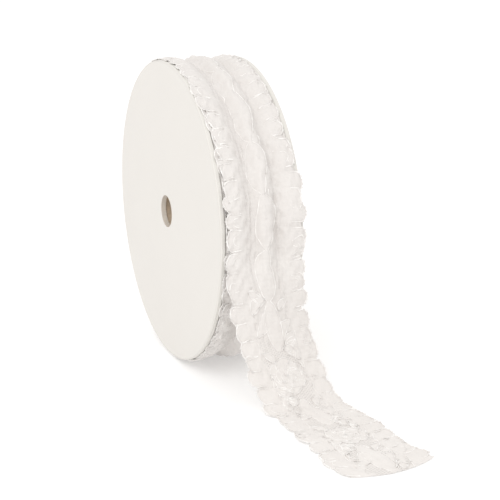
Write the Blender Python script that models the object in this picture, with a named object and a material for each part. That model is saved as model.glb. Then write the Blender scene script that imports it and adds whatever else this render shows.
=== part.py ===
"""A roll of floral lace trim on a card spool, with its loose end lying in front.

The spool is two card discs on a short kraft tube. The lace is wound up to the
rims and laps over them, so the roll stands on lace. Its loose end leaves the
front of the roll, falls to the surface and lies there towards -Y.

Frame: metres, +Z up. +X runs along the roll's axis, from the near disc to the
far one. The origin is the middle of the small flat under the roll.
"""
import math

import bmesh
import bpy

# --- Driving dimensions -------------------------------------------------------
SPOOL_RADIUS = 0.075
SPOOL_WIDTH = 0.041              # over both discs' outer faces
DISC_THICKNESS = 0.0025
DISC_EDGE_ROUND = 0.0007
SPINDLE_HOLE_RADIUS = 0.0080
CORE_INNER_RADIUS = 0.0090
CORE_OUTER_RADIUS = 0.0118
GAP = 0.0003                     # between touching pieces
AXIS_HEIGHT = 0.0758             # the lace under the roll is pressed flat

LACE_THICKNESS = 0.0012
TAIL_OFF_ROLL = 0.0769           # radius of the loose end's inner face on the roll
TAIL_FLOOR_LENGTH = 0.0705       # from touching the surface to the cut end
SCALLOP_PITCH = 0.0084
SCALLOP_DEPTH = 0.0014
CUT_SLANT = 0.006

DISC_SEGMENTS = 120
LACE_SEGMENTS = 112
CORE_SEGMENTS = 48
ARC_STEPS = 3                    # steps in a rounded disc edge

INNER_FACE = SPOOL_WIDTH / 2 - DISC_THICKNESS
LACE_LEFT = -0.0198
LACE_RIGHT = SPOOL_WIDTH / 2 + 0.0001

# The wound lace across its width: a scalloped band at each edge, two net
# troughs, and a chain of medallions standing up in the middle.
# (place across the roll, height above the disc rims), from left to right
RELIEF = [
    (LACE_LEFT, 0.0009),
    (-0.0170, 0.0012),
    (-0.0120, 0.0011),
    (-0.0085, 0.0002),
    (-0.0060, -0.0014),
    (-0.0035, -0.0014),
    (-0.0012, 0.0009),
    (0.0022, 0.0013),
    (0.0058, 0.0008),
    (0.0075, -0.0012),
    (0.0095, -0.0012),
    (0.0120, 0.0009),
    (0.0155, 0.0012),
    (0.0185, 0.0013),
    (LACE_RIGHT, 0.0010),
]

# How the loose end runs, in shares of the spool radius.
# (share of the end's length, left edge x, right edge x, right edge set back, arch)
RUN = [
    (0.00, -0.248, 0.262, 0.000, 0.000),
    (0.16, -0.244, 0.268, 0.000, 0.000),
    (0.28, -0.212, 0.300, 0.030, 0.010),
    (0.36, -0.180, 0.343, 0.060, 0.022),
    (0.44, -0.144, 0.385, 0.085, 0.028),
    (0.52, -0.104, 0.425, 0.070, 0.020),
    (0.60, -0.082, 0.450, 0.020, 0.006),
    (0.72, -0.080, 0.476, 0.000, 0.000),
    (0.86, -0.092, 0.500, 0.000, 0.000),
    (1.00, -0.088, 0.570, 0.000, 0.000),
]


# --- Materials ----------------------------------------------------------------
def finish(name, colour, roughness):
    """A plain dielectric material."""
    material = bpy.data.materials.new(name)
    material.use_nodes = True
    shader = material.node_tree.nodes["Principled BSDF"]
    shader.inputs["Base Color"].default_value = (*colour, 1.0)
    shader.inputs["Roughness"].default_value = roughness
    shader.inputs["Metallic"].default_value = 0.0
    material.diffuse_color = (*colour, 1.0)
    return material


# --- Building blocks ----------------------------------------------------------
def add_object(name, mesh_data, material):
    """Turn a bmesh into a named, smooth-shaded object."""
    bmesh.ops.recalc_face_normals(mesh_data, faces=mesh_data.faces)
    mesh = bpy.data.meshes.new(name)
    mesh_data.to_mesh(mesh)
    mesh_data.free()
    mesh.materials.append(material)
    mesh.shade_smooth()
    mesh.set_sharp_from_angle(angle=math.radians(40))
    piece = bpy.data.objects.new(name, mesh)
    bpy.context.scene.collection.objects.link(piece)
    return piece


def turned(name, profile, segments, material, unevenness=None):
    """Sweep a closed (x, radius) outline once round the roll's axis.

    Nothing goes below the surface the roll stands on, which leaves a small flat.
    unevenness(angle, x, radius) adds to a point's radius.
    """
    body = bmesh.new()
    rings = []
    for step in range(segments):
        angle = 2 * math.pi * (step + 0.5) / segments
        ring = []
        for x, radius in profile:
            reach = radius + (unevenness(angle, x, radius) if unevenness else 0.0)
            y = reach * math.sin(angle)
            z = AXIS_HEIGHT - reach * math.cos(angle)
            ring.append(body.verts.new((x, y, max(z, 0.0))))
        rings.append(ring)
    for here, ahead in zip(rings, rings[1:] + rings[:1]):
        for i in range(len(profile)):
            j = (i + 1) % len(profile)
            body.faces.new((here[i], here[j], ahead[j], ahead[i]))
    return add_object(name, body, material)


def corner(x, radius, start_degrees):
    """A quarter-round of a disc's edge, about its own centre."""
    points = []
    for step in range(ARC_STEPS + 1):
        turn = math.radians(start_degrees + 90 * step / ARC_STEPS)
        points.append((x + DISC_EDGE_ROUND * math.cos(turn),
                       radius + DISC_EDGE_ROUND * math.sin(turn)))
    return points


# --- The spool ----------------------------------------------------------------
def disc(name, inner_x, outer_x, material):
    """A card disc between two x planes, with soft rim edges and a square-cut hole."""
    low, high = sorted((inner_x, outer_x))
    rim = SPOOL_RADIUS - DISC_EDGE_ROUND
    profile = [(low, SPINDLE_HOLE_RADIUS), (high, SPINDLE_HOLE_RADIUS)]
    profile += corner(high - DISC_EDGE_ROUND, rim, 0)
    profile += corner(low + DISC_EDGE_ROUND, rim, 90)
    return turned(name, profile, DISC_SEGMENTS, material)


def core_tube(material):
    """The kraft tube that holds the discs apart."""
    half = INNER_FACE - GAP
    profile = [
        (-half, CORE_INNER_RADIUS),
        (half, CORE_INNER_RADIUS),
        (half, CORE_OUTER_RADIUS),
        (-half, CORE_OUTER_RADIUS),
    ]
    return turned("core_tube", profile, CORE_SEGMENTS, material)


# --- The lace -----------------------------------------------------------------
def wound_lace(material):
    """The wound form: full between the discs, and lapping over both rims."""
    inner = CORE_OUTER_RADIUS + GAP
    lap_under = SPOOL_RADIUS + GAP
    half = INNER_FACE - GAP
    profile = [(half, inner), (-half, inner), (-half, lap_under), (LACE_LEFT, lap_under)]
    profile += [(x, SPOOL_RADIUS + height) for x, height in RELIEF]
    profile += [(LACE_RIGHT, lap_under), (half, lap_under)]

    def unevenness(angle, x, radius):
        """Turns don't lie quite true: the outside wanders a little."""
        if radius < SPOOL_RADIUS - 0.003 or radius == lap_under:
            return 0.0
        slow = math.sin(3 * angle + 90 * x) * math.sin(5 * angle - 0.8)
        return 0.00018 * slow

    return turned("wound_lace", profile, LACE_SEGMENTS, material, unevenness)


def smooth_between(table, share):
    """Read a RUN-like table at a share of the length, easing from row to row."""
    for row, after in zip(table, table[1:]):
        if share <= after[0] or after is table[-1]:
            part = (share - row[0]) / (after[0] - row[0])
            return [a + (b - a) * part for a, b in zip(row[1:], after[1:])]
    return list(table[-1][1:])


def fall_curve(start, end, steps):
    """The free fall from the roll to the surface, as one cubic curve."""
    drop = start[1] * 0.49
    first = (start[0] + 0.0015, start[1] - drop)
    second = (start[0] - 0.0035, end[1])
    points = []
    for step in range(1, steps + 1):
        t = step / steps
        weights = ((1 - t) ** 3, 3 * t * (1 - t) ** 2, 3 * t * t * (1 - t), t ** 3)
        points.append(tuple(
            sum(w * p[axis] for w, p in zip(weights, (start, first, second, end)))
            for axis in (0, 1)))
    return points


def tail_path():
    """The (y, z) line of the loose end's under face, from the roll to the cut end."""
    path = []
    for degrees in range(15, -5, -2):
        turn = math.radians(degrees)
        path.append((-TAIL_OFF_ROLL * math.cos(turn),
                     AXIS_HEIGHT + TAIL_OFF_ROLL * math.sin(turn)))
    touch_down = (path[-1][0] - 0.0205, 0.0)
    path += fall_curve(path[-1], touch_down, 30)
    steps = 28
    for step in range(1, steps + 1):
        path.append((touch_down[0] - TAIL_FLOOR_LENGTH * step / steps, 0.0))
    return path


def scallop(distance):
    """How far the edge draws in between two shell-shaped lobes."""
    return SCALLOP_DEPTH * (1 - abs(math.sin(math.pi * distance / SCALLOP_PITCH)) ** 0.7)


def loose_tail(material):
    """The loose end: one thin sheet along the path, scalloped at both edges."""
    path = tail_path()
    along = [0.0]
    for before, here in zip(path, path[1:]):
        along.append(along[-1] + math.dist(before, here))
    length = along[-1]
    across = [0.0, 0.16, 0.33, 0.50, 0.67, 0.84, 1.0]
    body = bmesh.new()
    under, over = [], []
    for i, (y, z) in enumerate(path):
        share = along[i] / length
        left, right, set_back, arch = smooth_between(RUN, share)
        left = left * SPOOL_RADIUS + scallop(along[i])
        right = right * SPOOL_RADIUS - scallop(along[i] + SCALLOP_PITCH / 2)
        before = path[max(i - 1, 0)]
        after = path[min(i + 1, len(path) - 1)]
        run = math.dist(before, after)
        normal_y = -(before[1] - after[1]) / run
        normal_z = (before[0] - after[0]) / run
        end_bow = max(share - 0.80, 0.0) / 0.20
        under_row, over_row = [], []
        for place in across:
            x = left + (right - left) * place
            bow = 0.0075 * math.sin(math.pi * (0.12 + 0.80 * place)) - 0.0035
            bow = end_bow * (bow - CUT_SLANT * place ** 3)
            rise = arch * SPOOL_RADIUS * math.sin(math.pi * place)
            back = set_back * SPOOL_RADIUS * place
            point_y = y - bow + back + rise * normal_y
            point_z = z + rise * normal_z
            under_row.append(body.verts.new((x, point_y, max(point_z, 0.0))))
            over_row.append(body.verts.new((x, point_y + LACE_THICKNESS * normal_y,
                                            max(point_z, 0.0) + LACE_THICKNESS * normal_z)))
        under.append(under_row)
        over.append(over_row)
    last = len(across) - 1
    for i in range(len(path) - 1):
        for j in range(last):
            body.faces.new((under[i][j], under[i + 1][j], under[i + 1][j + 1], under[i][j + 1]))
            body.faces.new((over[i][j], over[i][j + 1], over[i + 1][j + 1], over[i + 1][j]))
        for j in (0, last):
            body.faces.new((under[i][j], over[i][j], over[i + 1][j], under[i + 1][j]))
    for i in (0, len(path) - 1):
        for j in range(last):
            body.faces.new((under[i][j], under[i][j + 1], over[i][j + 1], over[i][j]))
    return add_object("loose_tail", body, material)


def main():
    """Clear the scene and build the roll."""
    for old in list(bpy.data.objects):
        bpy.data.objects.remove(old, do_unlink=True)
    card = finish("white_card", (0.87, 0.85, 0.81), 0.62)
    kraft = finish("kraft_board", (0.42, 0.33, 0.24), 0.80)
    lace = finish("lace", (0.88, 0.84, 0.80), 0.75)
    disc("flange_near", -INNER_FACE, -SPOOL_WIDTH / 2, card)
    disc("flange_far", INNER_FACE, SPOOL_WIDTH / 2, card)
    core_tube(kraft)
    wound_lace(lace)
    loose_tail(lace)


main()
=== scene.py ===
# %% [markdown]
# # A roll of floral lace trim
# The trim is a galloon: a narrow lace with a scalloped edge on both sides, made by machine
# out of three things. A fine ground net holds it together, clothwork fills the petals and
# leaves, and a thicker satin cord draws every outline. It is wound on a spool of two card
# discs and a kraft tube, and its loose end hangs off the front.
# All sizes here are in millimetres and are turned into metres when a mesh is made.

# %% Load the spool and the wound form
import math

import bpy
import numpy as np
from mathutils import Matrix, Vector


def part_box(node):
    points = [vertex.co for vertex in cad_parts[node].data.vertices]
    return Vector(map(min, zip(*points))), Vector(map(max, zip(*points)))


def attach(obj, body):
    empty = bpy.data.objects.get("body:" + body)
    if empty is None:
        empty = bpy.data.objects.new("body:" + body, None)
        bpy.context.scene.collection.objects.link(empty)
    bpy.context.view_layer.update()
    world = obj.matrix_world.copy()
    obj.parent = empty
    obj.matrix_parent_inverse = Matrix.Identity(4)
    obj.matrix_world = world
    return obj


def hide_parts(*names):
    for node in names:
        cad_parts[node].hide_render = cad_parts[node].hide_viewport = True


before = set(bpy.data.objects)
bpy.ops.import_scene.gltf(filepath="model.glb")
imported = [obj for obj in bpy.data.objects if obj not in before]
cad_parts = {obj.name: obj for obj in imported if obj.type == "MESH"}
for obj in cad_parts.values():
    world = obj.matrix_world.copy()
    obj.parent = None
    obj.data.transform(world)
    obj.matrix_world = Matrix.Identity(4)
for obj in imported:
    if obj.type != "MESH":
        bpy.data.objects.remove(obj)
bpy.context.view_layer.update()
MM = 0.001
rng = np.random.default_rng(7)
print("nodes:", sorted(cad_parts))

# %% [markdown]
# ## Sizes read from the packed model
# The discs say how wide the spool is and how high its axis stands, and the loose end says
# where the cut end lies. They are read here and not typed again, so that the lace still
# meets its spool if the spool changes.

# %% Read the spool's sizes
near_low, near_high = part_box("flange_near")
far_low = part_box("flange_far")[0]
tail_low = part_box("loose_tail")[0]
SPOOL_RADIUS = (near_high[1] - near_low[1]) / 2 / MM
AXIS_HEIGHT = near_high[2] / MM - SPOOL_RADIUS
LEFT_WALL = near_high[0] / MM
RIGHT_WALL = far_low[0] / MM
CUT_END = tail_low[1] / MM
print(f"disc radius {SPOOL_RADIUS:.1f}, axis at {AXIS_HEIGHT:.1f}, lace between "
      f"{LEFT_WALL:.1f} and {RIGHT_WALL:.1f}, cut end at {CUT_END:.1f} mm")

# %% [markdown]
# ## The lace's own measures
# The trim is drawn once, flat: `u` runs across it, from one scalloped edge to the other,
# and `v` runs along it from the cut end. One repeat holds three scallops and one motif of
# the middle chain. Everything after this is drawn in `u` and `v`.

# %% Name the measures of the trim
WIDTH = 41.0
SCALLOP = 8.4
REPEAT = 3 * SCALLOP
print(f"trim {WIDTH} mm wide, scallops every {SCALLOP} mm, repeat {REPEAT} mm")

# %% [markdown]
# ## Where the trim lies
# A flat design can be put on any path, if each place along the trim knows where it is
# and which way is out. The path is sampled every millimetre, cut end first: along the
# surface, up the free fall, and twice round the roll, each turn a little further in. The
# free fall is one cubic curve, because hanging cloth bends smoothly from end to end.
# A curve modifier could do this too, but it can't widen, twist or lift the lace on the way.

# %% Lay out the path of the loose end and two turns
TAIL_RADIUS = SPOOL_RADIUS + 2.1   # the loose end stands a little off the roll
SNUG_BY = 2.0                      # and soon comes down on it, over this share of a turn
SNUG_WITHIN = 0.12
TURN_STEP = 0.30                   # how much further in each turn lies
LEAVE_DEGREES = -3.0               # the lace leaves the roll just below the axis
TOUCH_GAP = 20.5                   # how far out it touches the surface
FLOOR_HEIGHT = 0.45


def fall_line():
    """The (y, z) line from the cut end to where the lace meets the roll."""
    leave = math.radians(LEAVE_DEGREES)
    start = np.array([-TAIL_RADIUS * math.cos(leave), AXIS_HEIGHT + TAIL_RADIUS * math.sin(leave)])
    touch = np.array([start[0] - TOUCH_GAP, FLOOR_HEIGHT])
    low = np.array([start[0] - 3.5, FLOOR_HEIGHT])
    high = start + np.array([1.5, -start[1] * 0.49])
    t = np.linspace(0, 1, 80)[:, None]
    weights = ((1 - t) ** 3, 3 * t * (1 - t) ** 2, 3 * t * t * (1 - t), t ** 3)
    fall = sum(weight * point for weight, point in zip(weights, (touch, low, high, start)))
    floor_y = np.linspace(CUT_END + 4.2, touch[0], 72)[:-1]
    floor = np.stack([floor_y, np.full(floor_y.size, FLOOR_HEIGHT)], 1)
    return np.vstack([floor, fall])


def with_turns(line):
    """Add two turns of the roll to the line, each radius shrinking as it goes under."""
    angle = np.radians(np.arange(LEAVE_DEGREES + 0.75, LEAVE_DEGREES + 720, 0.75))
    part = (np.degrees(angle) - LEAVE_DEGREES) / 360
    radius = TAIL_RADIUS - SNUG_BY * np.clip(part / SNUG_WITHIN, 0, 1) - TURN_STEP * part
    turns = np.stack([-radius * np.cos(angle), AXIS_HEIGHT + radius * np.sin(angle)], 1)
    return np.vstack([line, turns])


tail_line = fall_line()
path = with_turns(tail_line)
run = np.concatenate([[0], np.cumsum(np.hypot(*np.diff(path, axis=0).T))])
TAIL_LENGTH = run[len(tail_line) - 1]
TURN_LENGTH = (run[-1] - TAIL_LENGTH) / 2
heading = np.gradient(path, run, axis=0)
out_y, out_z = -heading[:, 1], heading[:, 0]
print(f"loose end {TAIL_LENGTH:.0f} mm, one turn {TURN_LENGTH:.0f} mm")

# %% [markdown]
# The loose end doesn't hang straight. It slides towards +X, its right edge swings back
# under the roll, and it arches a little across. These rows say so, in shares of the loose
# end's length measured from the roll, and the path reads them smoothly in between.

# %% Say how the loose end swings and arches
# share from the roll, left edge x, right edge x, right edge set back, arch (in disc radii)
SWING = np.array([
    (0.00, -0.258, 0.274, 0.000, 0.000),
    (0.10, -0.248, 0.276, 0.000, 0.004),
    (0.20, -0.218, 0.300, 0.030, 0.010),
    (0.29, -0.184, 0.343, 0.060, 0.022),
    (0.37, -0.148, 0.385, 0.085, 0.028),
    (0.46, -0.100, 0.438, 0.070, 0.020),
    (0.56, -0.066, 0.466, 0.020, 0.006),
    (0.70, -0.056, 0.500, 0.000, 0.000),
    (0.80, -0.060, 0.512, 0.000, 0.000),
    (0.90, -0.060, 0.508, 0.000, 0.000),
    (1.00, -0.048, 0.600, 0.000, 0.000),
])


def smooth(values, width):
    """Average a row of values over a window, so that bends come out soft."""
    kernel = np.hanning(width + 2)[1:-1]
    padded = np.pad(values, width // 2, mode="edge")
    return np.convolve(padded, kernel / kernel.sum(), mode="valid")[:values.size]


share = np.clip(1 - run / TAIL_LENGTH, 0, 1)
left_x, right_x, set_back, arch = (
    smooth(np.interp(share, SWING[:, 0], SWING[:, column]), 15) * SPOOL_RADIUS
    for column in range(1, 5))
print(f"the loose end drifts {left_x[0] - left_x[-1]:.0f} mm towards +X")

# %% [markdown]
# On the roll the trim is a little wider than the space between the discs, so its edges
# ride up on the rims, more in some places than in others. Two short tables say how far the
# outer turn laps each rim. The turn under it laps by the same amount all the way round.

# %% Say how far the turns lap the rims
# (degrees round the roll from where the loose end leaves it, lap over the rim in mm)
LEFT_LAP = [(0, 0.4), (46, 0.4), (60, 1.8), (100, 1.9), (130, 0.8), (330, 0.6)]
RIGHT_LAP = [(0, 3.1), (22, 2.8), (45, -0.2), (100, -0.9), (130, 0.8), (330, 0.6)]
UNDER_LAPS = (0.9, 0.1)

on_roll = smooth((run > TAIL_LENGTH - 6).astype(float), 13)
round_roll = (run - TAIL_LENGTH) / TURN_LENGTH * 360


def lapped(edge, wall, way, laps, under_lap):
    """An edge of the trim, laid over a disc's rim wherever the trim is on the roll."""
    lap = np.interp(round_roll, *np.transpose(laps))
    edge = np.where(run > TAIL_LENGTH, wall + way * lap, edge)
    return smooth(np.where(round_roll > 360, wall + way * under_lap, edge), 15)


left_x = lapped(left_x, LEFT_WALL, -1, LEFT_LAP, UNDER_LAPS[0])
right_x = lapped(right_x, RIGHT_WALL, 1, RIGHT_LAP, UNDER_LAPS[1])
print(f"the trim is {(right_x - left_x)[round_roll > 0].max():.1f} mm wide at most on the roll")

# %% [markdown]
# On the roll the turns have packed into bands. The scalloped edges are thick, the net
# between is thin, and the middle chain stands up, so the same profile shows in every turn
# above. Three soft bumps on a sunken floor give it. Where the lace crosses a rim it can't
# sink, so there it rests just above the card.

# %% Shape the profile across the roll
def band(x, middle, half):
    """A flat-topped soft bump, 1 at its middle."""
    return np.exp(-(((x - middle) / half) ** 4))


def relief(x):
    """Height of the wound lace above the disc rims, in mm, before any lace lies on it."""
    return -2.9 + 3.1 * band(x, -15.4, 8.2) + 3.1 * band(x, 2.0, 3.9) + 2.9 * band(x, 16.9, 7.2)


def bowed_end(v, across):
    """How far the cut end bows out towards -Y, fading away over its last 32 mm."""
    bow = 7.5 * np.sin(math.pi * (0.12 + 0.80 * across)) - 3.5 - 3.0 * across ** 3
    return np.clip(1 - v / 32.0, 0, 1) * bow


print("ridge stands", round(float(relief(2.2) - relief(-5)), 2), "mm over the net trough")

# %% Put the flat lace in its place
PATH_ROWS = {"y": path[:, 0], "z": path[:, 1], "out_y": out_y, "out_z": out_z, "left": left_x,
             "right": right_x, "back": set_back, "arch": arch, "roll": on_roll}


def place(u, v, h):
    """Put flat lace coordinates, and a height over the net, in the frame (metres)."""
    u, v, h = np.broadcast_arrays(*(np.asarray(q, float) for q in (u, v, h)))
    read = {name: np.interp(v, run, row) for name, row in PATH_ROWS.items()}
    across = np.clip(u / WIDTH + 0.5, -0.08, 1.08)
    within = np.clip(across, 0, 1)
    x = read["left"] + (read["right"] - read["left"]) * across
    drift = 0.7 * np.sin(v / 11.0) * np.sin(v / 29.0 + 2) + 0.4 * np.sin(v / 6.3 + x / 9.0)
    bump = (relief(x + drift) + 0.22 * np.sin(v / 7.7 + x / 5.0)) * read["roll"]
    lift = h + bump + read["arch"] * np.sin(math.pi * within)
    below_rim = SPOOL_RADIUS - np.hypot(read["y"], read["z"] - AXIS_HEIGHT)
    on_rim = ((x < LEFT_WALL + 0.3) | (x > RIGHT_WALL - 0.3)) & (v > TAIL_LENGTH - 40)
    lift = np.where(on_rim, np.maximum(lift, below_rim + 0.25 + 0.4 * h), lift)
    wave = (0.5 + 0.5 * np.sin(v / 9.0 + u / 7.0)) * np.clip(v / 30, 0, 1)
    lift = lift + 0.55 * wave * (1 - read["roll"])
    y = read["y"] + read["out_y"] * lift + read["back"] * across - bowed_end(v, within)
    z = np.maximum(read["z"] + read["out_z"] * lift, 0.12 + 0.1 * h)
    return np.stack([x, y, z], -1) * MM


print("the middle of the cut end lies at y", round(float(place(0, 0, 0)[1]), 4), "m")

# %% [markdown]
# ## Making meshes from patches and threads
# Lace has thousands of cords, so each kind of piece is gathered as rows of points and made
# into one mesh at the end. Two shapes are enough. A patch is a grid of cloth with a
# thickness. A thread is a tube that follows a line over the cloth. An object for each
# cord, or instances, would be slower and would export badly.

# %% Gather grids into one mesh
class Gather:
    """Collects grids of points and makes them into one mesh."""

    def __init__(self, name):
        self.name, self.points, self.faces, self.count = name, [], [], 0
        self.maps = {"Lay": [], "OFBake": [], "Net": []}

    def add(self, points, faces, lay, flat, net=None):
        """Take points (n, 3), faces (m, 4), and each point's place on three maps."""
        points = points.reshape(-1, 3)
        net = np.zeros((len(points), 2)) if net is None else net
        for rows, values in zip(self.maps.values(), (lay, flat, net)):
            rows.append(values.reshape(-1, 2))
        self.points.append(points)
        self.faces.append(faces + self.count)
        self.count += len(points)

    def make(self, material):
        """Build the object, with its maps for the thread, for baking and for the net."""
        points, faces = np.concatenate(self.points), np.concatenate(self.faces)
        mesh = bpy.data.meshes.new(self.name)
        mesh.vertices.add(len(points))
        mesh.vertices.foreach_set("co", points.ravel())
        mesh.loops.add(faces.size)
        mesh.loops.foreach_set("vertex_index", faces.ravel())
        mesh.polygons.add(len(faces))
        mesh.polygons.foreach_set("loop_start", np.arange(0, faces.size, 4))
        mesh.update(calc_edges=True)
        for title, rows in self.maps.items():
            layer = mesh.uv_layers.new(name=title)
            layer.uv.foreach_set("vector", np.concatenate(rows)[faces.ravel()].ravel())
        mesh.shade_smooth()
        mesh.set_sharp_from_angle(angle=math.radians(72))
        mesh.materials.append(material)
        piece = bpy.data.objects.new(self.name, mesh)
        bpy.context.scene.collection.objects.link(piece)
        print(f"{self.name}: {len(faces) * 2} triangles")
        return piece


def grid_faces(rows, columns, wrap_rows=False, wrap_columns=False):
    """Four-sided faces of a grid whose points are numbered row by row."""
    r = np.arange(rows if wrap_rows else rows - 1)
    c = np.arange(columns if wrap_columns else columns - 1)
    r, c = np.meshgrid(r, c, indexing="ij")
    r2, c2 = (r + 1) % rows, (c + 1) % columns
    corners = [r * columns + c, r * columns + c2, r2 * columns + c2, r2 * columns + c]
    return np.stack(corners, -1).reshape(-1, 4)


BAKE_ROW = 120.0
BAKE_ROWS = 5
ROW_HEIGHT = WIDTH + 4


def baking_place(u, v):
    """Where a point of the trim goes on the baking map: the long trim, cut in rows."""
    row = math.floor(float(np.mean(v)) / BAKE_ROW)
    x = (v - row * BAKE_ROW + 6) / (BAKE_ROW + 12)
    y = (u + WIDTH / 2 + 2 + (row % BAKE_ROWS) * ROW_HEIGHT) / (BAKE_ROWS * ROW_HEIGHT)
    return np.stack([np.clip(x, 0, 1), np.clip(y, 0, 1)], -1)


print("a 3 x 3 grid has", len(grid_faces(3, 3)), "faces")

# %% [markdown]
# A patch of clothwork is drawn as a grid of flat places with a height at each. The same
# grid is laid twice, once a little lower, and its rim is closed, so the patch is a real
# thin solid. Ribs are heights too, so they catch the light.

# %% Lay a patch of cloth
CLOTH_THICKNESS = 0.20


def rim_of(rows, columns):
    """The numbers of a grid's outermost points, in order round it."""
    number = np.arange(rows * columns).reshape(rows, columns)
    return np.concatenate([number[0, :], number[1:, -1], number[-1, -2::-1], number[-2:0:-1, 0]])


def lay_patch(gather, u, v, h, net):
    """A closed thin solid over a grid of flat places (u, v) with heights h."""
    over, under = place(u, v, h), place(u, v, h - CLOTH_THICKNESS)
    faces, rim = grid_faces(*u.shape), rim_of(*u.shape)
    next_rim = np.roll(rim, -1)
    sides = np.stack([rim + u.size, next_rim + u.size, next_rim, rim], -1)
    all_faces = np.concatenate([faces[:, ::-1], faces + u.size, sides[:, ::-1]])
    maps = (np.stack([u, v], -1), baking_place(u, v), net)
    gather.add(np.stack([over, under]), all_faces, *(np.stack([values] * 2) for values in maps))


print("a 3 x 3 grid has", len(rim_of(3, 3)), "points round it")

# %% [markdown]
# A thread needs a ring of points at each place along its line. The rings stand square to
# the thread, and are turned so that one side always faces away from the cloth. That keeps
# the tube from twisting, which a curve object with a bevel can't promise on a path like this.

# %% Lay a thread
THREAD_SIDES = 6
THREAD_CAP = np.array([[0, 5, 4, 1], [1, 4, 3, 2]])
LOWEST = 0.02 * MM


def unit(vectors):
    """The same directions, each of length 1."""
    return vectors / (np.linalg.norm(vectors, axis=-1, keepdims=True) + 1e-12)


def thread_rings(line, up, radius, closed):
    """Rings of points round a line, a little flattened towards the cloth."""
    along = np.roll(line, -1, 0) - np.roll(line, 1, 0)
    if not closed:
        along[0], along[-1] = line[1] - line[0], line[-1] - line[-2]
    along = unit(along)
    up = unit(up - along * (up * along).sum(1, keepdims=True))
    side = np.cross(along, up)
    turn = 2 * math.pi * (np.arange(THREAD_SIDES) + 0.5) / THREAD_SIDES
    width = np.asarray(radius, float) * np.ones(len(line)) * MM
    rings = (line[:, None] + (up[:, None] * np.sin(turn)[:, None] * 0.9
             + side[:, None] * np.cos(turn)[:, None]) * width[:, None, None])
    rings[..., 2] = np.maximum(rings[..., 2], LOWEST)
    return rings, turn


def lay_thread(gather, u, v, h, radius, closed=False):
    """A round thread along a line of flat places, lying at height h."""
    u, v, h = (np.array(q) for q in np.broadcast_arrays(*(np.asarray(q, float) for q in (u, v, h))))
    cut_off = v < 0
    if cut_off.all():
        return
    v = np.maximum(v, 0)
    line = place(u, v, h)
    rings, turn = thread_rings(line, unit(place(u, v, h + 1.0) - line), radius, closed)
    step = np.linalg.norm(np.diff(line, axis=0, append=line[:1]), axis=1) / MM
    length = np.concatenate([[0], np.cumsum(step)[:-1]])
    lay = np.stack(np.broadcast_arrays(turn[None, :] / (2 * math.pi), length[:, None]), -1)
    flat = np.repeat(baking_place(u, v)[:, None], THREAD_SIDES, 1)
    faces = grid_faces(len(line), THREAD_SIDES, wrap_rows=closed, wrap_columns=True)
    if not closed:
        last = (len(line) - 1) * THREAD_SIDES
        faces = np.concatenate([faces, THREAD_CAP, last + THREAD_CAP[:, ::-1]])
    cut_off = np.repeat(cut_off, THREAD_SIDES)
    gather.add(rings, faces[~cut_off[faces].all(1)][:, ::-1], lay, flat)


print("a thread has", THREAD_SIDES, "sides")

# %% [markdown]
# ## The scalloped edges
# The lace is one cloth, worked thicker where its motifs are. So a motif is written as a
# height over the net, a dome with a soft edge, and where two motifs lap the higher one
# wins, which leaves the crease that worked lace has there. Separate petals would stand off
# the cloth like cushions. Each scallop is a shell, narrow at its foot and round at its lip.
# Worked lace is never exact, so every shell leans, laps and curls by its own amount.

# %% Measure out the shells
FOOT = 9.6
SHELLS = math.ceil(run[-1] / SCALLOP) + 3
NO_MOTIF = -9.0
# the least and most of each measure; how far a lip curls is given for each edge
SHELL_RANGES = {"half": (3.7, 5.3), "lip": (18.7, 21.0), "lean": (-0.28, 0.28),
                "crown": (0.35, 0.90), "lap": (-0.20, 0.45), "curl": None, "round": (0.16, 0.34)}


def shell_rows(shift, curl):
    """The measures of every scallop along one edge."""
    number = np.arange(-1, SHELLS)
    rows = {name: rng.uniform(*(limits or curl), number.size)
            for name, limits in SHELL_RANGES.items()}
    rows["middle"] = (number + shift) * SCALLOP + rng.uniform(-1.1, 1.1, number.size)
    rows["kind"] = rng.integers(0, 3, number.size)
    return rows


SHELL_ROWS = {-1: shell_rows(0.5, (-0.15, 0.15)), 1: shell_rows(0.72, (-0.1, 0.45))}


def shell_row(side, number):
    """The measures of a numbered shell, or of an array of them."""
    place_in_row = np.clip(number + 1, 0, SHELLS)
    return {name: values[place_in_row] for name, values in SHELL_ROWS[side].items()}


def shells_near(side, v):
    """The measures of the three shells that may reach each place along the trim."""
    number = np.floor(v / SCALLOP).astype(int)
    return [shell_row(side, number + step) for step in (-1, 0, 1)]


print(len(SHELL_ROWS[1]["lip"]), "shells along each edge")

# %% [markdown]
# A place in a shell is given by `t`, the share of the way from its foot to its lip, and by
# `b`, which runs from -1 to 1 across it. The crown is highest in the middle, one side laps
# up over the neighbour, the lip may curl, and ribs run across, along or in a fan.

# %% Shape the shells
def shell_half(row, t):
    """Half the width of a shell at a share t of the way to its lip."""
    return row["half"] * (0.80 + 0.20 * np.sin(np.clip(t, 0, 1) * math.pi / 2))


def lip(side, v):
    """How far out the scalloped edge is, at places along the trim."""
    best = np.zeros(np.shape(v))
    for row in shells_near(side, v):
        reach = row["lip"] - FOOT
        b = (v - row["middle"] - row["lean"] * reach) / shell_half(row, 1.0)
        bulge = row["round"] * (np.sqrt(np.clip(1 - b * b, 0, 1)) - 1)
        best = np.maximum(best, FOOT + reach * (1 + bulge))
    return best


def shell_dome(row, t, b):
    """Height of a shell over the net at its own places: crown, lap, curl and ribs."""
    fan = (t * 8 - np.abs(b) * 4) * 3
    ribs = np.choose(row["kind"], [np.cos(b * 11), np.cos(t * 20 + b * 3), np.cos(fan)])
    rim = np.clip(t, 0, 1) ** 3
    crown = row["crown"] * (1 - np.abs(b) ** 2.6) * (1 - 0.75 * rim)
    dome = crown + row["lap"] * b + row["curl"] * rim
    return (dome + 0.09 * ribs) * np.clip(t / 0.45, 0, 1)


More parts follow.
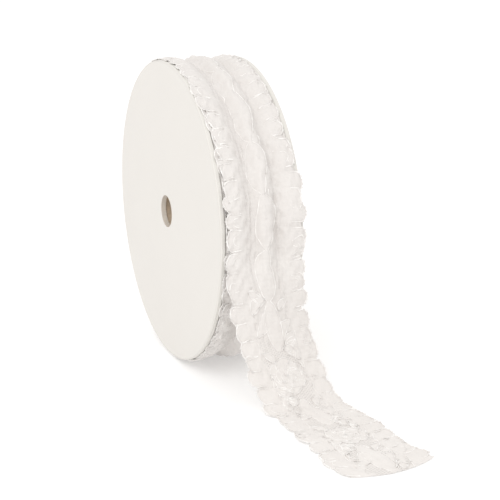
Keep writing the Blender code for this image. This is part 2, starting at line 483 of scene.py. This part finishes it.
def shell_height(side, u, v):
    """Height of the highest shell at each place, or NO_MOTIF where there is none."""
    best = np.full(u.shape, NO_MOTIF)
    reach = np.abs(u) - FOOT
    for row in shells_near(side, v):
        t = reach / (row["lip"] - FOOT)
        b = (v - row["middle"] - row["lean"] * reach) / shell_half(row, t)
        inside = (t > -0.15 + 0.2 * np.cos(b * 2)) & (np.abs(b) < 1.15)
        best = np.maximum(best, np.where(inside, shell_dome(row, t, b), NO_MOTIF))
    return best


print(f"the edge reaches {lip(1, np.arange(0.0, 400.0)).max():.1f} mm out from the middle")

# %% [markdown]
# ## The middle chain
# Down the middle runs a chain of long buds that swell and pinch in. A bud is soft and
# pillowy, with a shallow groove along it, and the next one grows out of its tip.

# %% Shape the chain of buds
BUDS = math.ceil(run[-1] / REPEAT) + 3
SPREAD_UNTIL = 0.74 * TAIL_LENGTH   # the loose end lies spread out this far from its cut end
BUD_ROWS = {name: rng.uniform(*limits, BUDS) for name, limits in (
    ("sway", (-1.1, 1.1)), ("twist", (-1.2, 1.2)), ("plump", (0.85, 1.12)), ("groove", (0.10, 0.50)))}


def bud_line(v):
    """The chain's middle line, its half width and the share along the bud, at places v."""
    number = np.clip(np.floor(v / REPEAT).astype(int), 0, BUDS - 1)
    row = {name: values[number] for name, values in BUD_ROWS.items()}
    a = (v - (number + 0.5) * REPEAT) / (REPEAT / 2)
    middle = row["sway"] * np.cos(a * math.pi / 2) + row["twist"] * np.sin(a * math.pi) * 0.9
    swell = np.clip(1 - a * a, 0, 1) ** 0.75
    half = 4.1 * row["plump"] * swell * (1 + 0.22 * a * row["twist"]) + 0.75
    return middle, half, a, row


def bud_height(u, v):
    """Height of the chain, or NO_MOTIF beside it. Roses take its place where it is spread."""
    middle, half, a, row = bud_line(v)
    b = (u - middle) / half
    along = np.clip(1 - a * a, 0, 1)
    dome = 1.25 * (1 - np.abs(b) ** 2.4) * (0.40 + 0.60 * along) + 0.25 * b * np.cos(a * math.pi / 2)
    dome = dome - row["groove"] * np.exp(-(b / 0.2) ** 2) * along ** 2
    dome = dome + 0.05 * np.cos(a * 26 + np.abs(b) * 6)
    rosy = (v < SPREAD_UNTIL) & (np.floor(v / REPEAT).astype(int) % 2 == 1)
    return np.where((np.abs(b) < 1.1) & ~rosy, dome, NO_MOTIF)


print(BUDS, "buds along the chain")

# %% [markdown]
# ## Leaves, roses and scrolls
# Where the trim lies spread out, its whole figure shows: roses with leaves, joined by
# scrolling cords. A petal and a leaf are the same dome between two points, bent to one
# side. They are listed first, so the cloth and the cords can both read the list.

# %% Shape a leaf
LEAVES = []


def leaf(foot, tip, bend, half, lift, blunt=0.8):
    """List a leaf or petal from foot to tip, both (u, v), bending sideways."""
    foot, along = np.array(foot, float), np.array(tip, float) - np.array(foot, float)
    aside = np.array([-along[1], along[0]]) / np.linalg.norm(along)
    LEAVES.append((foot, along, aside, bend, half, lift, blunt))


def leaf_height(one, u, v):
    """Height of one leaf at each place, or NO_MOTIF outside it."""
    foot, along, aside, bend, half, lift, blunt = one
    du, dv = u - foot[0], v - foot[1]
    t = (du * along[0] + dv * along[1]) / (along @ along)
    swell = np.sin(math.pi * np.clip(t, 0.01, 0.99))
    b = (du * aside[0] + dv * aside[1] - bend * swell) / (half * swell ** blunt)
    dome = lift + 0.10 + 0.30 * (1 - b * b) - 0.14 * np.exp(-(b / 0.22) ** 2) + 0.12 * b
    dome = dome + 0.04 * np.cos(t * 30 + 4 * np.abs(b))
    return np.where((np.abs(b) < 1) & (t > 0.02) & (t < 0.98), dome, NO_MOTIF)


def leaf_edge(one):
    """The closed line round a leaf: flat places and the leaf's own height there."""
    foot, along, aside, bend, half, lift, blunt = one
    t = np.concatenate([np.linspace(0.02, 0.98, 12), np.linspace(0.98, 0.02, 12)[1:-1]])
    b = np.concatenate([np.ones(12), -np.ones(10)])
    wide = bend * np.sin(math.pi * t) + half * np.sin(math.pi * t) ** blunt * b
    u, v = foot[0] + along[0] * t + aside[0] * wide, foot[1] + along[1] * t + aside[1] * wide
    return u, v, lift + 0.10 + 0.12 * b


sample = (np.zeros(2), np.array([8.0, 0.0]), np.array([0.0, 1.0]), 0.0, 2.0, 0.0, 0.8)
print("beside its vein a leaf stands", leaf_height(sample, 4.0, 0.8).round(2), "mm high")

# %% List the roses and the leaves between them
# petals in the round, reach and half width in shares of the rose, lift in mm, first angle
ROSE_ROUNDS = [(6, 1.00, 0.46, 0.05, 0.3), (5, 0.66, 0.36, 0.22, 0.0), (3, 0.36, 0.26, 0.40, 0.8)]
ROSE_SIZE = 9.4


def rose(u0, v0, size):
    """List an open rose: petals in three rounds, each lapping the next."""
    for petals, reach, half, lift, start in ROSE_ROUNDS:
        for number in range(petals):
            angle = 2 * math.pi * number / petals + start + rng.uniform(-0.15, 0.15)
            step = np.array([math.cos(angle), math.sin(angle)])
            tip = np.array([u0, v0]) + step * size * reach * rng.uniform(0.9, 1.08)
            leaf(np.array([u0, v0]) - step * size * 0.05, tip, size * 0.12, size * half, lift, 0.55)


def leaves_beside(v, turn):
    """List the leaves that join one motif to the next where the trim is spread."""
    for side in (-1, 1):
        near, far = v + turn * side * 2.0, v + turn * side * 11.5
        leaf((side * 2.0, far + 2.6), (side * 9.6, near + 4.6), side * 2.2, 2.7, 0.10)
        leaf((side * 2.8, far - 3.4), (side * 9.8, near - 6.2), -side * 2.0, 2.6, 0.06)
        leaf((side * 4.4, far - 0.5), (side * 10.2, far + 7.5), side * 1.4, 1.9, 0.02)
        leaf((side * 4.6, near + 9.0), (side * 9.8, near + 15.0), side * 1.2, 1.7, 0.04)


for number in range(math.ceil(SPREAD_UNTIL / REPEAT)):
    if number % 2:
        rose(rng.uniform(-0.8, 0.8), (number + 0.5) * REPEAT, ROSE_SIZE)
    leaves_beside((number + 0.5) * REPEAT, 1 if number % 2 else -1)
print(len(LEAVES), "leaves and petals listed")

# %% [markdown]
# ## The whole cloth
# The surface is the highest motif at each place, or the net where there is none. On the
# roll the net is pulled together, and in each trough it gathers into long soft folds. Lace
# is never evenly tight either, so soft waves of several lengths pucker all of it. The
# function also says where the net shows, because the material opens its meshes there.

# %% Pucker and settle the cloth
def settle(v):
    """How much of its full height the cloth keeps: the loose end has relaxed and is flatter."""
    return 0.50 + 0.50 * np.clip((v - 0.75 * TAIL_LENGTH) / 45, 0, 1)


PUCKERS = [(rng.uniform(0, 2 * math.pi), 2 * math.pi / length, rng.uniform(0, 6)) for length in
           (2.1, 2.6, 3.1, 3.7, 4.4, 5.2, 6.3, 7.9)]


def pucker(u, v):
    """Uneven tension in the cloth: soft waves of several lengths, each its own way."""
    total = 0.0
    for way, pitch, start in PUCKERS:
        total = total + np.sin((u * math.cos(way) + v * math.sin(way)) * pitch + start) / pitch
    return 0.16 * total * settle(v)


print("the loose end keeps", settle(0.0), "of its height")

# %% Add up the surface
def surface(u, v):
    """Height of the cloth over the net, and (open net, any net) there, each 0 to 1."""
    u, v = np.broadcast_arrays(np.asarray(u, float), np.asarray(v, float))
    motif = np.where(u < 0, shell_height(-1, u, v), shell_height(1, u, v))
    motif = np.maximum(motif, bud_height(u, v))
    if v.min() < SPREAD_UNTIL + 10:
        for one in LEAVES:
            motif = np.maximum(motif, leaf_height(one, u, v))
    motif = np.where(motif > NO_MOTIF / 2, motif * settle(v), motif)
    spread = np.clip((SPREAD_UNTIL + 8 - v) / 24.0, 0, 1)
    trough = np.exp(-((np.abs(u) - 7.0) / 3.0) ** 4)
    sway = 0.55 * np.sin(v / 8.3 + np.sign(u)) + 0.35 * np.sin(v / 3.7 + 2 * np.sign(u))
    folds = np.cos((np.abs(u) + sway) * 2.5) * (0.26 + 0.14 * np.sin(v / 5.0 + u))
    crease = 0.06 * np.sin(u * 1.7 + 2.2 * np.sin(v / 6.1)) + 0.05 * np.sin(v * 1.3 + u)
    ground = -0.10 + (folds * trough + crease) * (1 - 0.8 * spread)
    bare = 1 - np.clip((motif - ground) / 0.12 + 0.5, 0, 1)
    return np.maximum(motif, ground) + pucker(u, v), np.stack([bare * spread, bare], -1)


FOOT_SHARE = 0.47   # the share of the grid's columns that lies between the shells' feet


def lay_cloth(gather, start, end, columns, step):
    """Lay the cloth itself from start to end, out to its scalloped edges."""
    v = np.linspace(start, end, round((end - start) / step) + 1)[:, None]
    s = np.linspace(-1, 1, columns)[None, :]
    inner = np.abs(s) / FOOT_SHARE * FOOT
    lips = np.where(s < 0, lip(-1, v), lip(1, v))
    outer = FOOT + (np.abs(s) - FOOT_SHARE) / (1 - FOOT_SHARE) * (lips - FOOT)
    u = np.sign(s) * np.where(np.abs(s) < FOOT_SHARE, inner, outer)
    u, v = np.broadcast_arrays(u, v)
    height, net = surface(u, v)
    lay_patch(gather, u, v, height, net)


print("cloth at the middle of a bud:", surface(0.5, 250.0)[0].round(2), "mm over the net")

# %% [markdown]
# ## The outline cords
# A thicker satin cord runs round every motif, half sunk in the cloth. The cord of a shell
# or a petal keeps its own motif's height, so that whatever laps over the motif hides its
# cord too. The cords of the chain and the scrolls lie on top and climb over what they
# cross. A real cord swells and sinks a little as it goes, or it would look drawn on.

# %% Lay a cord on the cloth
def cord_at(cord, u, v, h, radius, closed=False):
    """A cord along flat places, swelling and sinking a little about the height h."""
    keep = v > 0.1
    if keep.sum() < 3:
        return
    closed = closed and bool(keep.all())
    u, v, h = u[keep], v[keep], np.broadcast_to(h, v.shape)[keep]
    swell = radius * (1 + 0.25 * np.sin(v * 1.3 + u * 0.9))
    sink = 0.10 * np.sin(v * 0.83 - u * 1.1 + 1.0)
    lay_thread(cord, u, v, h + sink, swell, closed)


def cord_on(cord, u, v, radius, rise):
    """A cord that climbs over whatever it crosses."""
    cord_at(cord, u, v, surface(u, v)[0] + rise, radius)


print("cords can be laid")

# %% [markdown]
# Each shell has an outline cord from one side of its foot round its lip to the other. Some
# shells have a loop inside as well, and tiny picot loops stand on the lips, though not on
# every place where they could.

# %% Draw the cords of a shell
PICOTS = np.linspace(-1.25, 1.25, 7)
PICOT_RADIUS = 0.42
PICOT_RING = np.linspace(0, 2 * math.pi, 8)[:-1]


def in_shell(row, side, t, b):
    """The flat place (u, v) of a shell's own place (t, b)."""
    reach = t * (row["lip"] - FOOT)
    return side * (FOOT + reach), row["middle"] + row["lean"] * reach + shell_half(row, t) * b


def cord_in_shell(cord, row, side, t, b, rise, radius):
    """A cord through a shell's own places, at the shell's own height."""
    u, v = in_shell(row, side, t, b)
    cord_at(cord, u, v, shell_dome(row, t, b) * settle(v) + pucker(u, v) + rise, radius)


def picots(cord, row, side):
    """The little loops along a shell's lip."""
    for turn in PICOTS + rng.uniform(-0.12, 0.12, PICOTS.size):
        u, v = in_shell(row, side, 1.01 - row["round"] * (1 - math.cos(turn)), 1.02 * math.sin(turn))
        if v > 0.6 and rng.random() < 0.75:
            height = surface(u - side * 0.6, v)[0] + rng.uniform(0.0, 0.3)
            lay_thread(cord, u + PICOT_RADIUS * np.cos(PICOT_RING),
                       v + PICOT_RADIUS * np.sin(PICOT_RING), height, 0.16, True)


def shell_cords(cord, side, number, fine):
    """The cords of one shell: its outline, its inner loop and its picots."""
    row = shell_row(side, number)
    turn = np.linspace(-1, 1, 17 if fine else 9) * math.pi / 2
    foot = np.linspace(rng.uniform(0.2, 0.5), 0.93 - row["round"], 4)
    t = np.concatenate([foot, 0.995 - row["round"] * (1 - np.cos(turn)), foot[::-1]])
    b = np.concatenate([-0.92 - 0.06 * foot, 0.985 * np.sin(turn), 0.92 + 0.06 * foot[::-1]])
    cord_in_shell(cord, row, side, t, b, 0.10, 0.27)
    if not fine:
        return
    if row["kind"] == 0:
        loop = np.linspace(-1.2, 1.2, 11) + rng.uniform(-0.3, 0.3)
        cord_in_shell(cord, row, side, 0.30 + 0.42 * np.cos(loop), 0.62 * np.sin(loop), 0.0, 0.18)
    picots(cord, row, side)


print("up to", PICOTS.size, "picots on a shell")

# %% [markdown]
# Two cords follow each bud of the chain. Where the trim is spread, scrolling cords join the
# motifs, drawn as smooth curves through a few places, and a wavy cord runs along the feet
# of the shells on each side.

# %% Draw the cords of the chain and the scrolls
# places on a scroll: u towards the edge, and v from the scroll's own middle
SCROLL = [(1.0, 1.4), (4.8, 4.2), (8.2, 0.6), (6.8, -4.0), (9.4, -8.0), (6.4, -12.0)]


def chain_cords(cord, number):
    """The two cords along a bud."""
    v = (number + 0.5 + np.linspace(-0.5, 0.4999, 26)) * REPEAT
    middle, half = bud_line(v)[:2]
    for way in (-1, 1):
        cord_on(cord, middle + way * half * 0.95, v, 0.20, 0.07 + 0.07 * way)


def scroll(cord, points):
    """A scrolling cord through a few flat places, as a smooth curve."""
    points = np.array(points, float)
    t = np.linspace(0, len(points) - 1, 6 * (len(points) - 1) + 1)
    padded = np.vstack([2 * points[0] - points[1], points, 2 * points[-1] - points[-2]])
    i = np.minimum(t.astype(int), len(points) - 2)
    f = (t - i)[:, None]
    a, b, c, d = (padded[i + k] for k in range(4))
    curve = 0.5 * (2 * b + (c - a) * f + (2 * a - 5 * b + 4 * c - d) * f ** 2
                   + (3 * b - a - 3 * c + d) * f ** 3)
    cord_on(cord, curve[:, 0], curve[:, 1], 0.24, 0.14)


def foot_cord(cord, start, side):
    """The wavy cord along the feet of the shells, where the trim is spread."""
    v = np.arange(start, SPREAD_UNTIL, 0.9)
    u = side * (FOOT + 0.5 + 0.55 * np.cos(2 * math.pi * v / SCALLOP) + 0.3 * np.sin(v / 5.1))
    cord_on(cord, u, v, 0.17, 0.04)


print("a scroll runs through", len(SCROLL), "places")

# %% Work the cords along the trim
def counted(start, end, pitch):
    """The numbers of the motifs of one pitch that begin between start and end."""
    return range(math.floor(start / pitch + 0.01), math.floor(end / pitch + 0.01))


def work(cord, start, end, fine):
    """Lay all the cords from start to end along the trim."""
    for number in counted(start, end, SCALLOP):
        for side in (-1, 1):
            shell_cords(cord, side, number, fine)
    for number in counted(start, end, REPEAT):
        v = (number + 0.5) * REPEAT
        if v > SPREAD_UNTIL or number % 2 == 0:
            chain_cords(cord, number)
        if v < SPREAD_UNTIL:
            turn = 1 if number % 2 else -1
            for side in (-1, 1):
                far = v + turn * side * 11.5
                scroll(cord, [(side * out, far + along) for out, along in SCROLL])
    if start < SPREAD_UNTIL:
        for side in (-1, 1):
            foot_cord(cord, start, side)


print("one turn of the roll has", len(counted(0, TURN_LENGTH, SCALLOP)), "shells on each side")

# %% [markdown]
# ## Writing materials as sums
# A material's nodes are easier to read as arithmetic. `Signal` wraps a socket, and its
# operators add Math nodes, so `1 - mask` or `a * b + c` can be written as they are.
# `Paint` holds one material and adds every other node, all through one method.

# %% Wrap sockets so that they add and multiply
class Signal:
    """A number or a colour that changes over the surface. Only numbers are added up."""

    def __init__(self, paint, socket):
        self.paint, self.socket = paint, socket

    def _math(self, operation, first, second):
        return self.paint.node("ShaderNodeMath", {"operation": operation}, {0: first, 1: second})

    def __add__(self, other):
        return self._math("ADD", self, other)

    def __sub__(self, other):
        return self._math("SUBTRACT", self, other)

    def __rsub__(self, other):
        return self._math("SUBTRACT", other, self)

    def __mul__(self, other):
        return self._math("MULTIPLY", self, other)

    def __truediv__(self, other):
        return self._math("DIVIDE", self, other)

    def __pow__(self, other):
        return self._math("POWER", self, other)

    __radd__, __rmul__ = __add__, __mul__


print("sums a signal can do:", [name for name in ("add", "sub", "mul", "truediv", "pow")
                                if hasattr(Signal, f"__{name}__")])

# %% Hold one material and its nodes
class Paint:
    """One material, whose nodes are all added by node()."""

    def __init__(self, name, roughness, sheen=0.0, **constants):
        self.material = bpy.data.materials.new(name)
        self.material.use_nodes = True
        self.tree = self.material.node_tree
        self.shader = self.tree.nodes["Principled BSDF"]
        self.shader.inputs["Roughness"].default_value = roughness
        self.shader.inputs["Sheen Weight"].default_value = sheen
        for title, value in constants.items():
            self.shader.inputs[title.replace("_", " ")].default_value = value

    def node(self, kind, settings=None, sockets=None, out=0):
        """Add a node: settings first, then its sockets' values or links."""
        node = self.tree.nodes.new(kind)
        for name, value in (settings or {}).items():
            setattr(node, name, value)
        for name, value in (sockets or {}).items():
            if isinstance(value, Signal):
                self.tree.links.new(value.socket, node.inputs[name])
            else:
                node.inputs[name].default_value = value
        return Signal(self, node.outputs[out])

    def spot(self):
        """The place on the object, in millimetres."""
        place_m = self.node("ShaderNodeTexCoord", out="Object")
        return self.node("ShaderNodeVectorMath", {"operation": "SCALE"}, {0: place_m, "Scale": 1 / MM})

    def parts(self, vector):
        """The three numbers of a vector."""
        split = self.node("ShaderNodeSeparateXYZ", None, {0: vector}).socket.node
        return [Signal(self, socket) for socket in split.outputs]

    def noise(self, vector, scale, detail=2.0, rough=0.5):
        """Soft random numbers from 0 to 1."""
        return self.node("ShaderNodeTexNoise", None,
                         {"Vector": vector, "Scale": scale, "Detail": detail, "Roughness": rough})

    def wave(self, number):
        """A ripple from -1 to 1 along a number."""
        return self.node("ShaderNodeMath", {"operation": "SINE"}, {0: number})

    def blend(self, factor, first, second):
        """A colour between two, by a factor. Each is a tuple or another colour."""
        first, second = ((*one, 1) if isinstance(one, tuple) else one for one in (first, second))
        return self.node("ShaderNodeMix", {"data_type": "RGBA"}, {0: factor, 6: first, 7: second}, out=2)

    def clamp(self, number):
        """A number held between 0 and 1."""
        return self.node("ShaderNodeClamp", None, {0: number})

    def finish(self, colour, height=None, depth=0.1, alpha=None):
        """Join the colour, the bump (depth in mm) and the openings to the shader."""
        self.tree.links.new(colour.socket, self.shader.inputs["Base Color"])
        if alpha is not None:
            self.tree.links.new(alpha.socket, self.shader.inputs["Alpha"])
        if height is not None:
            bump = self.node("ShaderNodeBump", None,
                             {"Strength": 1.0, "Distance": depth * MM, "Height": height})
            self.tree.links.new(bump.socket, self.shader.inputs["Normal"])
        return self.material


print("a paint has", sum(callable(step) for step in vars(Paint).values()), "methods")

# %% [markdown]
# ## Clothwork, cord and net
# Clothwork is woven back and forth by fine threads, so its bump is two crossing ripples
# that follow the `Lay` map. The net is six-sided, which is three ripples added, each 60
# degrees from the next. The cord is twisted, so its ripple slants round the thread.
# The nylon is off-white, uneven in tone, with a soft sheen. The net's colour is darker than
# the clothwork's, partly its own thinner tone and partly painted shade of the layers seen
# through it. Lace lets some light through, so over the turns beneath its colour is painted a
# little darker, a painted shade that the loose end on the pale surface doesn't get.

# %% Paint the clothwork and the net
NET_CELL = 1.25


def cloth_paint():
    """Woven clothwork, and net with open six-sided meshes between the motifs."""
    paint = Paint("lace clothwork", 0.80, 0.25)
    u, v, _ = paint.parts(paint.node("ShaderNodeUVMap", {"uv_map": "Lay"}))
    open_net, any_net, _ = paint.parts(paint.node("ShaderNodeUVMap", {"uv_map": "Net"}))
    spot = paint.spot()
    drift = paint.noise(spot, 0.05, 3.0)
    fine = paint.noise(spot, 1.4, 2.0)
    weave = paint.wave((u + fine * 0.25) * 13.0) * 0.5 + paint.wave((v + fine * 0.3) * 15.0) * 0.5
    pitch = 2 * math.pi / NET_CELL
    across = u * (pitch * 2 / math.sqrt(3))
    crest = math.pi / 2
    mesh = (paint.wave(across + crest) + paint.wave(across * 0.5 + v * pitch + crest)
            + paint.wave(across * 0.5 - v * pitch + crest)) / 3.0
    hole = paint.clamp((mesh - 0.42) * 6.0)
    bump = weave * 0.5 * (1 - any_net) - mesh * any_net + fine
    tone = paint.clamp(drift * 0.7 + fine * 0.35)
    worked = paint.blend(tone, (0.722, 0.684, 0.656), (0.824, 0.794, 0.766))
    # the net colour is partly its own thinner tone and partly painted shade: it is darker so that the
    # folded troughs look shaded
    thin = paint.blend(tone, (0.682, 0.645, 0.617), (0.792, 0.761, 0.734))
    # painted shade: on the roll the lace colour is darkened a little, standing in for the shaded turns
    # seen through it
    painted_shade_over_turns = paint.clamp((v - 0.6 * TAIL_LENGTH) * (2.5 / TAIL_LENGTH))
    colour = paint.blend(any_net * 0.9, worked, thin)
    colour = paint.blend(painted_shade_over_turns * 0.10, colour, (0.30, 0.30, 0.31))
    return paint.finish(colour, bump, 0.035, alpha=1 - hole * open_net * 0.25)


clothwork = cloth_paint()
print("clothwork has", len(clothwork.node_tree.nodes), "nodes")

# %% Paint the cords
def cord_paint():
    """Twisted satin outline cord."""
    paint = Paint("lace cord", 0.45, 0.2)
    turn, length, _ = paint.parts(paint.node("ShaderNodeUVMap", {"uv_map": "Lay"}))
    twist = paint.wave(length * 7.0 + turn * (2 * math.pi))
    drift = paint.noise(paint.spot(), 0.30, 2.0)
    # random tone along the cord, plus a painted sheen that lightens one side of each twist
    tone_and_twist_sheen = paint.clamp((drift - 0.40) * 4.0 + twist * 0.06)
    colour = paint.blend(tone_and_twist_sheen, (0.780, 0.750, 0.725), (0.930, 0.912, 0.890))
    return paint.finish(colour, twist, 0.02)


satin_cord = cord_paint()
print("satin cord has", len(satin_cord.node_tree.nodes), "nodes")

# %% [markdown]
# ## The loose end
# The loose end is one cloth: net and clothwork are joined in one mesh, and its cords lie
# on it as a second piece.

# %% Make the loose end
# it is cut after whole repeats, so its last few millimetres lie on the roll
tail_end = math.ceil((TAIL_LENGTH + 4.0) / REPEAT) * REPEAT
tail_cloth, tail_cord = Gather("tail_lace"), Gather("tail_cords")
lay_cloth(tail_cloth, 0.0, tail_end, 96, 0.46)
work(tail_cord, 0.0, tail_end, True)
for one in LEAVES:
    u, v, height = leaf_edge(one)
    cord_at(tail_cord, u, v, height * settle(v) + pucker(u, v) + 0.04, 0.21, closed=True)
tail_piece = tail_cloth.make(clothwork)
tail_cord_piece = tail_cord.make(satin_cord)

# %% [markdown]
# ## The outer turn and the turn under it
# The outer turn is the same trim carried on round the roll. A whole turn is not a whole
# number of scallops, so the shells of the turn below peep out between the upper ones, as
# on any wound lace.

# %% Make the two turns
outer_end = math.ceil((TAIL_LENGTH + TURN_LENGTH) / REPEAT) * REPEAT
halfway = round((tail_end + outer_end) / 2 / REPEAT) * REPEAT
under_end = outer_end + TURN_LENGTH - REPEAT
# name, start, end, columns across, step along in mm, whether its cords are drawn in full
STRETCHES = [("outer_turn_first", tail_end, halfway, 84, 0.58, True),
             ("outer_turn_last", halfway, outer_end, 84, 0.58, True),
             ("under_turn", outer_end, under_end, 34, 1.3, False)]
turn_pieces = []
for name, start, end, columns, step, fine in STRETCHES:
    turn_cloth, turn_cord = Gather(name + "_lace"), Gather(name + "_cords")
    lay_cloth(turn_cloth, start, end, columns, step)
    work(turn_cord, start, end, fine)
    turn_pieces += [turn_cloth.make(clothwork), turn_cord.make(satin_cord)]

# %% [markdown]
# ## The turns beneath
# Below two turns nothing can be told apart but folds of net, so the rest of the winding is
# one closed ring with the same bands. Its surface is pushed in and out by small ripples
# that run round the roll, like the edges of packed layers. At its two flanks it comes up
# close under the turns above, so that no gap shows between the lace and the discs' rims.

# %% Make the packed winding
WINDING_START = TAIL_LENGTH + TURN_LENGTH
CORE_GAP = 0.5


def winding_skin(u, v):
    """The outside of the packed turns."""
    crinkle = 0.16 * np.sin(u * 2.9 + 3 * np.sin(v / 6)) + 0.14 * np.sin(v / 1.9 + u)
    flank = np.clip((np.abs(u) - 14) / 4, 0, 1)
    return place(u, v, -1.5 + 1.4 * flank + crinkle * (1 - 0.6 * flank))


def winding_foot(edge, radius):
    """The points where an edge of the winding would meet the tube, straight below it."""
    on_axis = edge * (1, 0, 0) + (0, 0, AXIS_HEIGHT * MM)
    return on_axis + unit(edge - on_axis) * radius


def winding():
    """The ring of packed turns, from the kraft tube to under the last two turns."""
    gather = Gather("packed_winding")
    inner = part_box("core_tube")[1][1] + CORE_GAP * MM
    across = np.linspace(-WIDTH / 2 + 1.2, WIDTH / 2 - 0.4, 46)
    around = WINDING_START + np.linspace(0, TURN_LENGTH, 420)[:-1]
    v, u = np.meshgrid(around, across, indexing="ij")
    skin = winding_skin(u, v)
    left, right = winding_foot(skin[:, :1], inner), winding_foot(skin[:, -1:], inner)
    ring = np.concatenate([left, skin, right], 1)
    u, v = (np.concatenate([q[:, :1], q, q[:, -1:]], 1) for q in (u, v))
    faces = grid_faces(ring.shape[0], ring.shape[1], True, True)
    flat = np.stack([(v - WINDING_START) / TURN_LENGTH, (u / WIDTH + 0.5) * 0.9 + 0.05], -1)
    gather.add(ring, faces, np.stack([u, v], -1), flat)
    return gather.make(clothwork)


winding_piece = winding()

# %% [markdown]
# ## Card and kraft board
# The discs are white-faced board with a cut rim. The face is smooth paper with a faint
# fibre, and is painted a little darker near the rim, a painted shade of its rounded edge.
# The cut edges show the board's plies, and they are browner in the hole, which was punched
# and left bare. One paint serves all three, mixed by the distance from the axis, because
# they are one piece of card. The tube is kraft board, wound in a spiral from strips, so a
# faint seam runs round it like a screw's thread.

# %% Paint the discs and the tube
HOLE_RADIUS = 8.0


def card_paint():
    """Off-white card with warmer cut edges."""
    paint = Paint("white card", 0.60, 0.05)
    spot = paint.spot()
    x, y, z = paint.parts(spot)
    height = z - AXIS_HEIGHT
    radius = (y * y + height * height) ** 0.5
    rim = paint.clamp((radius - (SPOOL_RADIUS - 0.35)) * 6.0)
    # painted shade: the face is darkened over its last millimetre or so towards the rim, standing in for
    # the shade of the rounded edge
    painted_rim_shade = paint.clamp((radius - (SPOOL_RADIUS - 1.3)) * 1.2) * 0.10
    hole = paint.clamp((HOLE_RADIUS + 0.2 - radius) * 8.0)
    fibre = paint.noise(spot, 0.9, 4.0, 0.6)
    cloud = paint.clamp(paint.noise(spot, 0.03, 2.0) * 0.8 + fibre * 0.2)
    face = paint.blend(cloud, (0.700, 0.675, 0.640), (0.732, 0.708, 0.672))
    plies = paint.wave(x * 9.0) * 0.5 + 0.5
    layers = plies * 0.5 + fibre * 0.4
    edge = paint.blend(layers, (0.68, 0.66, 0.62), (0.76, 0.74, 0.70))
    board = paint.blend(layers, (0.62, 0.57, 0.51), (0.74, 0.69, 0.62))
    face = paint.blend(painted_rim_shade, face, (0.40, 0.37, 0.34))
    colour = paint.blend(hole, paint.blend(rim, face, edge), board)
    return paint.finish(colour, fibre * 0.6 + plies * (rim + hole) * 0.4, 0.05)


def kraft_paint():
    """Spiral-wound kraft board."""
    paint = Paint("kraft board", 0.82)
    spot = paint.spot()
    x, y, z = paint.parts(spot)
    turn = paint.node("ShaderNodeMath", {"operation": "ARCTAN2"}, {0: y, 1: z - AXIS_HEIGHT})
    seam = paint.wave(x * 0.42 + turn) ** 8.0
    fibre = paint.noise(spot, 0.7, 4.0, 0.6)
    colour = paint.blend(fibre, (0.52, 0.42, 0.31), (0.66, 0.55, 0.43))
    return paint.finish(colour, fibre - seam * 0.8, 0.10)


card, kraft = card_paint(), kraft_paint()
for node_name, material in (("flange_near", card), ("flange_far", card), ("core_tube", kraft)):
    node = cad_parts[node_name]
    for slot in node.material_slots:
        slot.material = material
    node.data.shade_smooth()
print("card and kraft painted")

# %% [markdown]
# ## Put each piece on its body
# Every piece rides on the one body, and the two plain lace solids are replaced.

# %% Ride and replace
for piece in (tail_piece, tail_cord_piece, *turn_pieces, winding_piece):
    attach(piece, "root")
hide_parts("wound_lace")
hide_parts("loose_tail")

# %% [markdown]
# ## Floor, light and camera
# A pale floor that glows a little, like a light table, and a bright even sky give soft
# light, and one large lamp from the upper left gives the lace's relief its shadows. The
# camera looks a little down on the roll from its front left, from far enough away that the
# disc hardly tapers.

# %% Set the floor
FLOOR_HALF, FLOOR_Z = 4.0, -0.0002


def floor():
    """A wide pale floor, a hair under the roll."""
    mesh = bpy.data.meshes.new("floor")
    square = ((-1, -1), (1, -1), (1, 1), (-1, 1))
    corners = [(x * FLOOR_HALF, y * FLOOR_HALF, FLOOR_Z) for x, y in square]
    mesh.from_pydata(corners, [], [(0, 1, 2, 3)])
    paint = Paint("pale floor", 0.9, Emission_Color=(1, 0.99, 0.98, 1), Emission_Strength=0.30)
    tint = paint.noise(paint.spot(), 0.004, 2.0)
    mesh.materials.append(paint.finish(paint.blend(tint, (0.74, 0.74, 0.74), (0.76, 0.76, 0.76))))
    piece = bpy.data.objects.new("floor", mesh)
    bpy.context.scene.collection.objects.link(piece)


floor()
print("floor", FLOOR_HALF * 2, "m wide")

# %% Set the light
scene = bpy.context.scene
sky = bpy.data.worlds.new("even sky")
sky.use_nodes = True
sky.node_tree.nodes["Background"].inputs["Color"].default_value = (1.0, 0.992, 0.982, 1)
sky.node_tree.nodes["Background"].inputs["Strength"].default_value = 1.0
scene.world = sky


def lamp(name, place_m, aim, size, watts):
    """A square soft lamp."""
    data = bpy.data.lights.new(name, "AREA")
    data.shape, data.size, data.energy = "SQUARE", size, watts
    piece = bpy.data.objects.new(name, data)
    piece.location = place_m
    piece.rotation_euler = (Vector(aim) - Vector(place_m)).to_track_quat("-Z", "Y").to_euler()
    scene.collection.objects.link(piece)


lamp("key", (-0.75, -0.75, 1.05), (0, -0.03, 0.06), 0.7, 5.0)

# %% Set the camera
AZIMUTH, ELEVATION = math.radians(-22.5), math.radians(15.9)
DISTANCE, ASIDE, ABOVE = 9.08, 0.305, -0.288   # from the middle of the roll, in disc radii
back = Vector((math.sin(AZIMUTH) * math.cos(ELEVATION), -math.cos(AZIMUTH) * math.cos(ELEVATION),
               math.sin(ELEVATION)))
right = (-back).cross(Vector((0, 0, 1))).normalized()
above = right.cross(-back)
away = (back * DISTANCE + right * ASIDE + above * ABOVE) * SPOOL_RADIUS * MM
camera = bpy.data.objects.new("camera", bpy.data.cameras.new("camera"))
camera.data.lens = 96.8
camera.data.clip_start = 0.01
camera.matrix_world = Matrix((right, above, back)).transposed().to_4x4()
camera.location = Vector((0, 0, AXIS_HEIGHT * MM)) + away
scene.collection.objects.link(camera)
scene.camera = camera
scene.view_settings.view_transform = "Standard"
print("camera", round(away.length, 3), "m from the roll")
